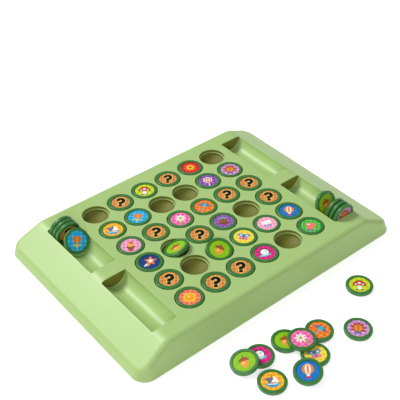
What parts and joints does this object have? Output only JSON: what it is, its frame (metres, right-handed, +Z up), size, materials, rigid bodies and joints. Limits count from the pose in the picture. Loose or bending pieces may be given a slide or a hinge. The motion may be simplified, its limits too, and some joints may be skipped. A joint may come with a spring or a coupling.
{
  "type": "memory board game",
  "caption": "Memory board game: a moulded tray with a square grid of round wells and four half-round troughs, and two-faced picture tokens that lift out of it.",
  "frame": {"origin": "middle of the tray's foot, on the table it stands on", "axes": "X along the tray's long side, Y to its rear, away from the loose tokens, Z up"},
  "size_m": [0.339, 0.3413, 0.0416],
  "materials": {
    "tray_plastic": "satin moulded polypropylene, light leaf green",
    "token_plastic": "glossy moulded plastic, deep green",
    "label_print": "printed gloss paper label"
  },
  "bodies": {
    "tray": {"game_tray": "tray_plastic"},
    "well_token_r1_c2": {"well_token_r1_c2": "token_plastic"},
    "well_token_r1_c3": {"well_token_r1_c3": "token_plastic"},
    "well_token_r1_c4": {"well_token_r1_c4": "token_plastic"},
    "well_token_r1_c5": {"well_token_r1_c5": "token_plastic"},
    "well_token_r2_c1": {"well_token_r2_c1": "token_plastic"},
    "well_token_r2_c2": {"well_token_r2_c2": "token_plastic"},
    "well_token_r2_c5": {"well_token_r2_c5": "token_plastic"},
    "well_token_r2_c6": {"well_token_r2_c6": "token_plastic"},
    "well_token_r3_c1": {"well_token_r3_c1": "token_plastic"},
    "well_token_r3_c2": {"well_token_r3_c2": "token_plastic"},
    "well_token_r3_c3": {"well_token_r3_c3": "token_plastic"},
    "well_token_r3_c4": {"well_token_r3_c4": "token_plastic"},
    "well_token_r3_c5": {"well_token_r3_c5": "token_plastic"},
    "well_token_r3_c6": {"well_token_r3_c6": "token_plastic"},
    "well_token_r4_c1": {"well_token_r4_c1": "token_plastic"},
    "well_token_r4_c2": {"well_token_r4_c2": "token_plastic"},
    "well_token_r4_c3": {"well_token_r4_c3": "token_plastic"},
    "well_token_r4_c4": {"well_token_r4_c4": "token_plastic"},
    "well_token_r4_c6": {"well_token_r4_c6": "token_plastic"},
    "well_token_r5_c1": {"well_token_r5_c1": "token_plastic"},
    "well_token_r5_c3": {"well_token_r5_c3": "token_plastic"},
    "well_token_r5_c4": {"well_token_r5_c4": "token_plastic"},
    "well_token_r5_c5": {"well_token_r5_c5": "token_plastic"},
    "well_token_r5_c6": {"well_token_r5_c6": "token_plastic"},
    "well_token_r6_c1": {"well_token_r6_c1": "token_plastic"},
    "well_token_r6_c2": {"well_token_r6_c2": "token_plastic"},
    "well_token_r6_c3": {"well_token_r6_c3": "token_plastic"},
    "well_token_r6_c4": {"well_token_r6_c4": "token_plastic"},
    "well_token_r6_c6": {"well_token_r6_c6": "token_plastic"},
    "rear_trough_token_1": {"rear_trough_token_1": "token_plastic"},
    "rear_trough_token_2": {"rear_trough_token_2": "token_plastic"},
    "rear_trough_token_3": {"rear_trough_token_3": "token_plastic"},
    "rear_trough_token_4": {"rear_trough_token_4": "token_plastic"},
    "front_trough_token_1": {"front_trough_token_1": "token_plastic"},
    "front_trough_token_2": {"front_trough_token_2": "token_plastic"},
    "front_trough_token_3": {"front_trough_token_3": "token_plastic"},
    "front_trough_token_4": {"front_trough_token_4": "token_plastic"},
    "loose_token_1": {"loose_token_1": "token_plastic"},
    "loose_token_2": {"loose_token_2": "token_plastic"},
    "loose_token_3": {"loose_token_3": "token_plastic"},
    "loose_token_5": {"loose_token_5": "token_plastic"},
    "loose_token_6": {"loose_token_6": "token_plastic"},
    "loose_token_8": {"loose_token_8": "token_plastic"},
    "loose_token_10": {"loose_token_10": "token_plastic"},
    "loose_token_4": {"loose_token_4": "token_plastic"},
    "loose_token_7": {"loose_token_7": "token_plastic"},
    "loose_token_9": {"loose_token_9": "token_plastic"}
  },
  "joints": [
    {"name": "well_token_r1_c2_lift", "type": "slide", "parent": "tray", "child": "well_token_r1_c2", "axis": [0, 0, 1], "range_m": [0, 0.03]},
    {"name": "well_token_r1_c3_lift", "type": "slide", "parent": "tray", "child": "well_token_r1_c3", "axis": [0, 0, 1], "range_m": [0, 0.03]},
    {"name": "well_token_r1_c4_lift", "type": "slide", "parent": "tray", "child": "well_token_r1_c4", "axis": [0, 0, 1], "range_m": [0, 0.03]},
    {"name": "well_token_r1_c5_lift", "type": "slide", "parent": "tray", "child": "well_token_r1_c5", "axis": [0, 0, 1], "range_m": [0, 0.03]},
    {"name": "well_token_r2_c1_lift", "type": "slide", "parent": "tray", "child": "well_token_r2_c1", "axis": [0, 0, 1], "range_m": [0, 0.03]},
    {"name": "well_token_r2_c2_lift", "type": "slide", "parent": "tray", "child": "well_token_r2_c2", "axis": [0, 0, 1], "range_m": [0, 0.03]},
    {"name": "well_token_r2_c5_lift", "type": "slide", "parent": "tray", "child": "well_token_r2_c5", "axis": [0, 0, 1], "range_m": [0, 0.03]},
    {"name": "well_token_r2_c6_lift", "type": "slide", "parent": "tray", "child": "well_token_r2_c6", "axis": [0, 0, 1], "range_m": [0, 0.03]},
    {"name": "well_token_r3_c1_lift", "type": "slide", "parent": "tray", "child": "well_token_r3_c1", "axis": [0, 0, 1], "range_m": [0, 0.03]},
    {"name": "well_token_r3_c2_lift", "type": "slide", "parent": "tray", "child": "well_token_r3_c2", "axis": [0, 0, 1], "range_m": [0, 0.03]},
    {"name": "well_token_r3_c3_lift", "type": "slide", "parent": "tray", "child": "well_token_r3_c3", "axis": [0, 0, 1], "range_m": [0, 0.03]},
    {"name": "well_token_r3_c4_lift", "type": "slide", "parent": "tray", "child": "well_token_r3_c4", "axis": [0, 0, 1], "range_m": [0, 0.03]},
    {"name": "well_token_r3_c5_lift", "type": "slide", "parent": "tray", "child": "well_token_r3_c5", "axis": [0, 0, 1], "range_m": [0, 0.03]},
    {"name": "well_token_r3_c6_lift", "type": "slide", "parent": "tray", "child": "well_token_r3_c6", "axis": [0, 0, 1], "range_m": [0, 0.03]},
    {"name": "well_token_r4_c1_lift", "type": "slide", "parent": "tray", "child": "well_token_r4_c1", "axis": [0, 0, 1], "range_m": [0, 0.03]},
    {"name": "well_token_r4_c2_lift", "type": "slide", "parent": "tray", "child": "well_token_r4_c2", "axis": [0, 0, 1], "range_m": [0, 0.03]},
    {"name": "well_token_r4_c3_lift", "type": "slide", "parent": "tray", "child": "well_token_r4_c3", "axis": [0, 0, 1], "range_m": [0, 0.03]},
    {"name": "well_token_r4_c4_lift", "type": "slide", "parent": "tray", "child": "well_token_r4_c4", "axis": [0, 0, 1], "range_m": [0, 0.03]},
    {"name": "well_token_r4_c6_lift", "type": "slide", "parent": "tray", "child": "well_token_r4_c6", "axis": [0, 0, 1], "range_m": [0, 0.03]},
    {"name": "well_token_r5_c1_lift", "type": "slide", "parent": "tray", "child": "well_token_r5_c1", "axis": [0, 0, 1], "range_m": [0, 0.03]},
    {"name": "well_token_r5_c3_lift", "type": "slide", "parent": "tray", "child": "well_token_r5_c3", "axis": [0, 0, 1], "range_m": [0, 0.03]},
    {"name": "well_token_r5_c4_lift", "type": "slide", "parent": "tray", "child": "well_token_r5_c4", "axis": [0, 0, 1], "range_m": [0, 0.03]},
    {"name": "well_token_r5_c5_lift", "type": "slide", "parent": "tray", "child": "well_token_r5_c5", "axis": [0, 0, 1], "range_m": [0, 0.03]},
    {"name": "well_token_r5_c6_lift", "type": "slide", "parent": "tray", "child": "well_token_r5_c6", "axis": [0, 0, 1], "range_m": [0, 0.03]},
    {"name": "well_token_r6_c1_lift", "type": "slide", "parent": "tray", "child": "well_token_r6_c1", "axis": [0, 0, 1], "range_m": [0, 0.03]},
    {"name": "well_token_r6_c2_lift", "type": "slide", "parent": "tray", "child": "well_token_r6_c2", "axis": [0, 0, 1], "range_m": [0, 0.03]},
    {"name": "well_token_r6_c3_lift", "type": "slide", "parent": "tray", "child": "well_token_r6_c3", "axis": [0, 0, 1], "range_m": [0, 0.03]},
    {"name": "well_token_r6_c4_lift", "type": "slide", "parent": "tray", "child": "well_token_r6_c4", "axis": [0, 0, 1], "range_m": [0, 0.03]},
    {"name": "well_token_r6_c6_lift", "type": "slide", "parent": "tray", "child": "well_token_r6_c6", "axis": [0, 0, 1], "range_m": [0, 0.03]},
    {"name": "rear_trough_token_1_lift", "type": "slide", "parent": "tray", "child": "rear_trough_token_1", "axis": [0, -0.2079, 0.9781], "range_m": [0, 0.032]},
    {"name": "rear_trough_token_2_lift", "type": "slide", "parent": "tray", "child": "rear_trough_token_2", "axis": [0, -0.2079, 0.9781], "range_m": [0, 0.032]},
    {"name": "rear_trough_token_3_lift", "type": "slide", "parent": "tray", "child": "rear_trough_token_3", "axis": [0, -0.2079, 0.9781], "range_m": [0, 0.032]},
    {"name": "rear_trough_token_4_lift", "type": "slide", "parent": "tray", "child": "rear_trough_token_4", "axis": [0, -0.2079, 0.9781], "range_m": [0, 0.032]},
    {"name": "front_trough_token_1_lift", "type": "slide", "parent": "tray", "child": "front_trough_token_1", "axis": [0, -0.0767, 0.9971], "range_m": [0, 0.032]},
    {"name": "front_trough_token_2_lift", "type": "slide", "parent": "tray", "child": "front_trough_token_2", "axis": [0, -0.0767, 0.9971], "range_m": [0, 0.032]},
    {"name": "front_trough_token_3_lift", "type": "slide", "parent": "tray", "child": "front_trough_token_3", "axis": [0, -0.0767, 0.9971], "range_m": [0, 0.032]},
    {"name": "front_trough_token_4_lift", "type": "slide", "parent": "tray", "child": "front_trough_token_4", "axis": [0, -0.0767, 0.9971], "range_m": [0, 0.032]},
    {"name": "loose_token_1_lift", "type": "slide", "parent": "tray", "child": "loose_token_1", "axis": [0, 0, 1], "range_m": [0, 0.03]},
    {"name": "loose_token_2_lift", "type": "slide", "parent": "tray", "child": "loose_token_2", "axis": [0, 0, 1], "range_m": [0, 0.03]},
    {"name": "loose_token_3_slide", "type": "slide", "parent": "tray", "child": "loose_token_3", "axis": [0.7071, 0.7071, 0], "range_m": [0, 0.025]},
    {"name": "loose_token_5_slide", "type": "slide", "parent": "tray", "child": "loose_token_5", "axis": [0.3489, 0.9371, 0], "range_m": [0, 0.025]},
    {"name": "loose_token_6_slide", "type": "slide", "parent": "tray", "child": "loose_token_6", "axis": [0.8, -0.6, 0], "range_m": [0, 0.025]},
    {"name": "loose_token_8_slide", "type": "slide", "parent": "tray", "child": "loose_token_8", "axis": [0.3011, 0.9536, 0], "range_m": [0, 0.02]},
    {"name": "loose_token_10_lift", "type": "slide", "parent": "tray", "child": "loose_token_10", "axis": [0, 0, 1], "range_m": [0, 0.03]},
    {"name": "loose_token_4_lift", "type": "slide", "parent": "tray", "child": "loose_token_4", "axis": [0, 0, 1], "range_m": [0, 0.03]},
    {"name": "loose_token_7_lift", "type": "slide", "parent": "tray", "child": "loose_token_7", "axis": [0, 0, 1], "range_m": [0, 0.03]},
    {"name": "loose_token_9_lift", "type": "slide", "parent": "tray", "child": "loose_token_9", "axis": [0, 0, 1], "range_m": [0, 0.03]}
  ]
}
